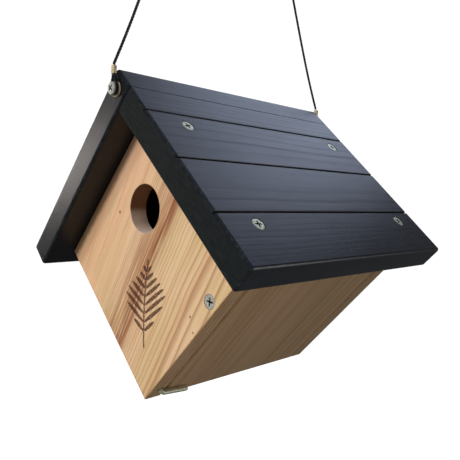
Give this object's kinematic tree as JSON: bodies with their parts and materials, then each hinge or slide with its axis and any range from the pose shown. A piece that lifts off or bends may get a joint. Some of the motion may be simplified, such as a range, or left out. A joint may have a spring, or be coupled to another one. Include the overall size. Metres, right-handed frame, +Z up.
{
  "type": "birdhouse",
  "caption": "Hanging wooden birdhouse: a square box set on its corner under a two-board gable roof, with a round entrance hole, a pivoting clean-out door and a wire-rope hanger.",
  "frame": {"origin": "top of the rope loop, at the middle of the rope, where a hook takes the weight", "axes": "+Z up, +Y from the front panel to the back, +X to the right seen from the front"},
  "size_m": [0.2282, 0.2092, 0.3752],
  "materials": {
    "stained_timber": "blue-black stain with a soft sheen, grain showing",
    "pale_timber": "bare planed softwood with red-brown streaks and small knots",
    "zinc_steel": "bright zinc plate",
    "brass": "dull pale brass",
    "black_rope": "black plastic coat over laid wire strands"
  },
  "bodies": {
    "hanger": {"hanging_rope": "black_rope", "rope_eye_front": "black_rope", "rope_eye_back": "black_rope", "ferrule_front": "brass", "ferrule_back": "brass"},
    "house": {"roof_board_left": "stained_timber", "roof_board_right": "stained_timber", "front_panel": "pale_timber", "back_panel": "pale_timber", "fixed_side": "pale_timber", "roof_screw_right_front_upper": "zinc_steel", "roof_screw_right_front_lower": "zinc_steel", "roof_screw_right_back_upper": "zinc_steel", "roof_screw_right_back_lower": "zinc_steel", "roof_screw_left_front_upper": "zinc_steel", "roof_screw_left_front_lower": "zinc_steel", "roof_screw_left_back_upper": "zinc_steel", "roof_screw_left_back_lower": "zinc_steel", "pivot_screw_front": "zinc_steel", "pivot_screw_back": "zinc_steel", "hanger_screw_front": "zinc_steel", "hanger_screw_back": "zinc_steel", "hanger_washer_front": "brass", "hanger_washer_back": "brass"},
    "door": {"cleanout_door": "pale_timber"},
    "latch": {"latch_hook": "zinc_steel"}
  },
  "joints": [
    {"name": "house_swing", "type": "hinge", "parent": "hanger", "child": "house", "pos_m": [0, 0, -0.17694], "axis": [0, 1, 0], "range_deg": [-90, 90]},
    {"name": "door_pivot", "type": "hinge", "parent": "house", "child": "door", "pos_m": [0.0623, 0, -0.30252], "axis": [0, -1, 0], "range_deg": [0, 105]},
    {"name": "latch_turn", "type": "hinge", "parent": "house", "child": "latch", "pos_m": [0.00778, -0.07335, -0.3668], "axis": [0.7071, 0, -0.7071], "range_deg": [0, 180]}
  ]
}
